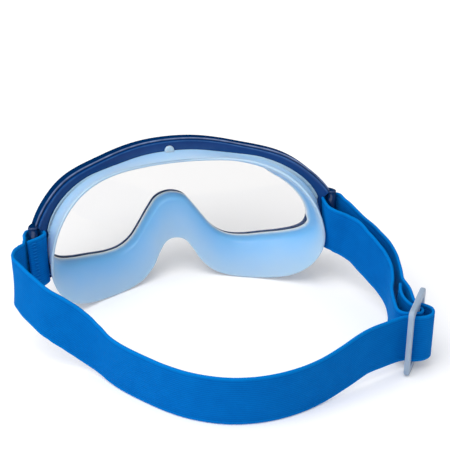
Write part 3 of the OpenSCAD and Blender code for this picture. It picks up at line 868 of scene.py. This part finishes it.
left_loop = strap_piece("webbing_left_loop", "strap_left_loop", 0, left_cut)
blend_loop(left_loop)
left_start = strap_piece("webbing_left_start", "strap_front_run", left_cut, left_run)
blend_between(left_start)
front_run = strap_piece("webbing_front_run", "strap_front_run", left_run, bight_first)
blend_between(front_run)
bight = strap_piece("webbing_bight", "strap_bight", bight_first, bight_last)
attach(bight, "slider")
outer_run = strap_piece("webbing_outer_run", "strap_right_outer", bight_last, right_run_in)
blend_between(outer_run)
outer_end = strap_piece("webbing_outer_end", "strap_right_outer", right_run_in, right_in)
blend_between(outer_end)
outer_loop = strap_piece("webbing_right_loop_outer", "strap_right_loop", right_in, loop_mid)
blend_loop(outer_loop)
inner_loop = strap_piece("webbing_right_loop_inner", "strap_right_loop", loop_mid, right_out)
blend_loop(inner_loop)
inner_end = strap_piece("webbing_inner_end", "strap_right_inner", right_out, right_run_out)
blend_between(inner_end)
inner_run = strap_piece("webbing_inner_run", "strap_right_inner", right_run_out, fold_first)
blend_between(inner_run)
fold = strap_piece("webbing_sewn_fold", "strap_sewn_fold", fold_first, end)
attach(fold, "slider")

# Rows of thread that hold the two sewn ends
STITCHES, STITCH_STEP, STITCH_L, STITCH_T = 14, 1.6, 2.4, 0.5
STITCH_LIFT, STITCH_SUNK, STITCH_TAPER = STITCH_T * 0.42, 0.08, 0.55


def stitch_rows(name, i, side, node, body):
    """Stitches side by side across the webbing, sunk into it at their ends."""
    parts = Parts()
    angles = np.radians(np.arange(0, 360, 45))
    places = np.linspace(-1, 1, 9)
    for r in range(STITCHES):
        base = centre[i] + across[i] * (r - (STITCHES - 1) / 2) * STITCH_STEP
        base = base + outward[i] * side * half_t
        rings = []
        for s in places:
            lift = STITCH_LIFT * (1 - abs(s) ** 3) - STITCH_SUNK
            radius = STITCH_T / 2 * (1 - STITCH_TAPER * abs(s) ** 4)
            mid = base + tangent[i] * s * STITCH_L / 2 + outward[i] * side * lift
            rings += [mid + radius * (math.cos(a) * across[i] + math.sin(a) * outward[i] * side)
                      for a in angles]
        parts.add(rings, loft(len(places), len(angles), flip=True, caps=True))
    dress(parts.made(name, thread), node, body)


stitch_rows("left_loop_thread", STRAP_STEPS - 1, 1, "left_loop_stitches", "left_loop")
stitch_rows("fold_thread", end - STRAP_STEPS + 1, -1, "fold_stitches", "slider")


# Slider: three bars between two end pieces, with rounded edges
def rounded_rectangle(x0, z0, x1, z1, r, steps=6):
    out = []
    for cx, cz, start in ((x1 - r, z1 - r, 0), (x0 + r, z1 - r, 90), (x0 + r, z0 + r, 180),
                          (x1 - r, z0 + r, 270)):
        for a in np.radians(np.linspace(start, start + 90, steps + 1)):
            out.append((cx + r * math.cos(a), cz + r * math.sin(a)))
    return np.array(out)


def slider_slot(side):
    middle, half = side * BAR_STEP / 2, (BAR_STEP - RIB_W) / 2
    reach = SLIDER_L / 2 - END_W
    return rounded_rectangle(middle - half, -reach, middle + half, reach, SLOT_CORNER)


def slider_mesh():
    half_a, half_z = BAR_STEP + RIB_W / 2, SLIDER_L / 2
    outer = rounded_rectangle(-half_a, -half_z, half_a, half_z, SLIDER_CORNER)
    bm = bmesh.new()
    levels = []
    for outline, way in [(outer, -1), (slider_slot(-1), 1), (slider_slot(1), 1)]:
        n = outline_normals(outline)
        rings = []
        for a in SLIDER_ROUND:
            inset = SLIDER_EDGE * (1 - math.cos(a))
            b = math.sin(a) * SLIDER_EDGE + math.copysign(RIB_T / 2 - SLIDER_EDGE, a)
            rings.append([bm.verts.new(slider_point(q[0], b, half_z + q[1]))
                          for q in outline + way * inset * n])
        for r0, r1 in zip(rings, rings[1:]):
            for k in range(len(r0)):
                j = (k + 1) % len(r0)
                bm.faces.new([r0[k], r0[j], r1[j], r1[k]])
        levels.append((rings[0], rings[-1]))
    for which in (0, 1):
        edges = [bm.edges.get([a, b]) for pair in levels
                 for a, b in zip(pair[which], pair[which][1:] + pair[which][:1])]
        bmesh.ops.triangle_fill(bm, use_beauty=True, use_dissolve=False, edges=edges)
    bmesh.ops.recalc_face_normals(bm, faces=bm.faces)
    for v in bm.verts:
        v.co *= MM
    mesh = bpy.data.meshes.new("slider_plate")
    bm.to_mesh(mesh)
    bm.free()
    mesh.polygons.foreach_set("use_smooth", [True] * len(mesh.polygons))
    return weighted(placed_object("slider_plate", mesh, frosted))


dress(slider_mesh(), "slider", "slider")

# Studio: a white floor that keeps the shadow, two soft lights, and a white surround. The camera,
# straight or through glass, sees the surround brighter than it lights; reflections see it duller.
FLOOR_HALF, FLOOR_Z = 3.0, -0.0002
FLOOR_GLOW_SPAN, FLOOR_GLOW, FLOOR_SHINE = (0.2, 1.0), (0.12, 0.5), 0.5
WORLD_LIGHT, WORLD_SHINE_LESS = 0.64, 0.6


def seen_rays(tree, path):
    """1 for what the camera sees, straight or through glass."""
    return math_node(tree, "MAXIMUM", path.outputs["Is Camera Ray"],
                     path.outputs["Is Transmission Ray"])


def lit_paper():
    """White paper that glows more away from the object, and less in reflections."""
    m, tree, shader = new_material("white_paper", (0.93, 0.93, 0.935), 0.9,
                                   Specular_IOR_Level=0.0)
    away = tree.nodes.new("ShaderNodeVectorMath")
    away.operation = "LENGTH"
    feed(away, 0, tree.nodes.new("ShaderNodeTexCoord").outputs["Object"])
    glow = spread(tree, away.outputs["Value"], FLOOR_GLOW_SPAN, FLOOR_GLOW)
    path = tree.nodes.new("ShaderNodeLightPath")
    shine = times(tree, path.outputs["Is Glossy Ray"], FLOOR_SHINE)
    share = math_node(tree, "MAXIMUM", seen_rays(tree, path), shine)
    feed(shader, "Emission Strength", times(tree, share, glow))
    shader.inputs["Emission Color"].default_value = (1, 1, 1, 1)
    return m


floor_mesh = bpy.data.meshes.new("floor")
corners = [(-1, -1), (1, -1), (1, 1), (-1, 1)]
floor_mesh.from_pydata([(x * FLOOR_HALF, y * FLOOR_HALF, FLOOR_Z) for x, y in corners],
                       [], [[0, 1, 2, 3]])
placed_object("floor", floor_mesh, lit_paper())

world = bpy.data.worlds.new("studio")
bpy.context.scene.world = world
world.use_nodes = True
tree = world.node_tree
background = tree.nodes["Background"]
background.inputs["Color"].default_value = (1, 1, 1, 1)
path = tree.nodes.new("ShaderNodeLightPath")
plain = plus(tree, times(tree, seen_rays(tree, path), 1 - WORLD_LIGHT), WORLD_LIGHT)
duller = times(tree, path.outputs["Is Glossy Ray"], WORLD_SHINE_LESS)
level = times(tree, plain, math_node(tree, "SUBTRACT", 1.0, duller))
feed(background, "Strength", level)


def area_light(name, place, aim, size, power):
    data = bpy.data.lights.new(name, "AREA")
    data.shape = "DISK"
    data.size = size
    data.energy = power
    obj = bpy.data.objects.new(name, data)
    obj.location = place
    obj.rotation_euler = (Vector(aim) - Vector(place)).to_track_quat("-Z", "Y").to_euler()
    bpy.context.scene.collection.objects.link(obj)


LIT_PLACE = (0, 0, 0.02)
area_light("key", place=(-0.25, -0.15, 0.9), aim=LIT_PLACE, size=0.9, power=5.0)
area_light("side", place=(-0.85, -0.3, 0.35), aim=LIT_PLACE, size=1.2, power=4.0)

# Camera: the photograph's viewing angle, from behind and above on the left
CAMERA = np.array([-180.173, -628.040, 437.065])
CAMERA_AZ, CAMERA_EL = math.radians(-16.569), math.radians(30.1108)
CAMERA_ROLL = 0.021638
FOCAL_MM, SENSOR_MM = 129.746, 36.0
CLIP_NEAR, CLIP_FAR = 0.05, 20.0
level_out = math.cos(CAMERA_EL)
back = Vector((math.sin(CAMERA_AZ) * level_out, -math.cos(CAMERA_AZ) * level_out,
               math.sin(CAMERA_EL)))
right = (-back).cross(Vector((0, 0, 1))).normalized()
up = right.cross(-back)
c, s = math.cos(CAMERA_ROLL), math.sin(CAMERA_ROLL)
x_axis, y_axis = right * c + up * s, up * c - right * s
camera_data = bpy.data.cameras.new("camera")
camera_data.lens = FOCAL_MM
camera_data.sensor_width = SENSOR_MM
camera_data.clip_start, camera_data.clip_end = CLIP_NEAR, CLIP_FAR
camera = bpy.data.objects.new("camera", camera_data)
rotation = Matrix((x_axis, y_axis, back)).transposed()
camera.matrix_world = Matrix.Translation(Vector(CAMERA * MM)) @ rotation.to_4x4()
bpy.context.scene.collection.objects.link(camera)
bpy.context.scene.camera = camera
bpy.context.scene.view_settings.view_transform = "Standard"
